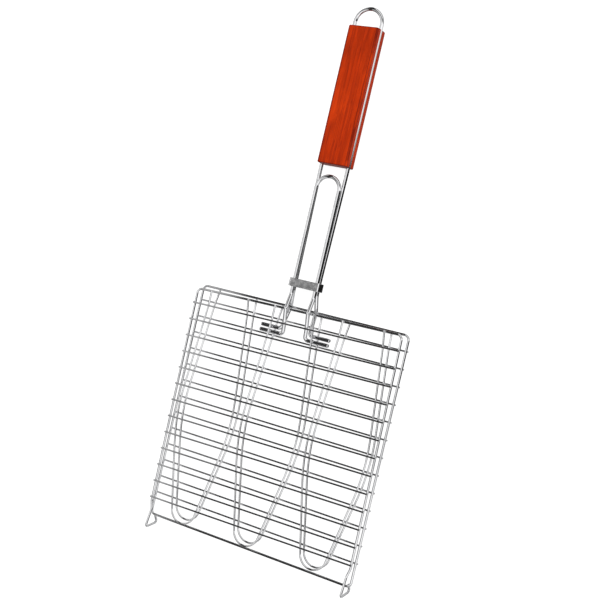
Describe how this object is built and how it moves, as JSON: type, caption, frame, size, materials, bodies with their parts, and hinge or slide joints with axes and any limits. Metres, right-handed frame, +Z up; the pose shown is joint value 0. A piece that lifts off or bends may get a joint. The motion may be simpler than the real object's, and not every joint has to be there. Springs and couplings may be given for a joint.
{
  "type": "grill basket",
  "caption": "Hinged chrome wire grill basket: two flat wire leaves on hook hinges, a long handle with a wooden grip, a short handle and a sliding strip clasp.",
  "frame": {"origin": "middle of the lower leaf, on the plane under its cross wires, where the basket rests on a grate", "axes": "+X across the basket, +Y from the hinge bar towards the grip, +Z up through the leaves, towards the upper leaf"},
  "size_m": [0.2463, 0.5767, 0.02],
  "materials": {
    "frame_chrome": "bright plated",
    "wire_chrome": "bright plated",
    "handle_chrome": "bright plated",
    "grip_wood": "stained and lacquered",
    "clasp_steel": "plated strip"
  },
  "bodies": {
    "lower_leaf": {"lower_frame_wire": "frame_chrome", "lower_cross_wire_1": "wire_chrome", "lower_cross_wire_2": "wire_chrome", "lower_cross_wire_3": "wire_chrome", "lower_cross_wire_4": "wire_chrome", "lower_cross_wire_5": "wire_chrome", "lower_cross_wire_6": "wire_chrome", "lower_cross_wire_7": "wire_chrome", "lower_cross_wire_8": "wire_chrome", "lower_cross_wire_9": "wire_chrome", "lower_cross_wire_10": "wire_chrome", "lower_cross_wire_11": "wire_chrome", "lower_cross_wire_12": "wire_chrome", "lower_cross_wire_13": "wire_chrome", "lower_hairpin_left": "wire_chrome", "lower_hairpin_middle": "wire_chrome", "lower_hairpin_right": "wire_chrome", "main_handle_wire": "handle_chrome", "grip": "grip_wood"},
    "upper_leaf": {"upper_frame_wire": "frame_chrome", "upper_cross_wire_1": "wire_chrome", "upper_cross_wire_2": "wire_chrome", "upper_cross_wire_3": "wire_chrome", "upper_cross_wire_4": "wire_chrome", "upper_cross_wire_5": "wire_chrome", "upper_cross_wire_6": "wire_chrome", "upper_cross_wire_7": "wire_chrome", "upper_cross_wire_8": "wire_chrome", "upper_cross_wire_9": "wire_chrome", "upper_cross_wire_10": "wire_chrome", "upper_cross_wire_11": "wire_chrome", "upper_cross_wire_12": "wire_chrome", "upper_cross_wire_13": "wire_chrome", "upper_hairpin_left": "wire_chrome", "upper_hairpin_middle": "wire_chrome", "upper_hairpin_right": "wire_chrome", "short_handle_wire": "handle_chrome"},
    "clasp": {"clasp": "clasp_steel"}
  },
  "joints": [
    {"name": "leaf_open", "type": "hinge", "parent": "lower_leaf", "child": "upper_leaf", "pos_m": [0, -0.125, 0.00302], "axis": [1, 0, 0], "range_deg": [0, 180]},
    {"name": "clasp_slide", "type": "slide", "parent": "lower_leaf", "child": "clasp", "axis": [0, 1, 0], "range_m": [0, 0.119]}
  ]
}
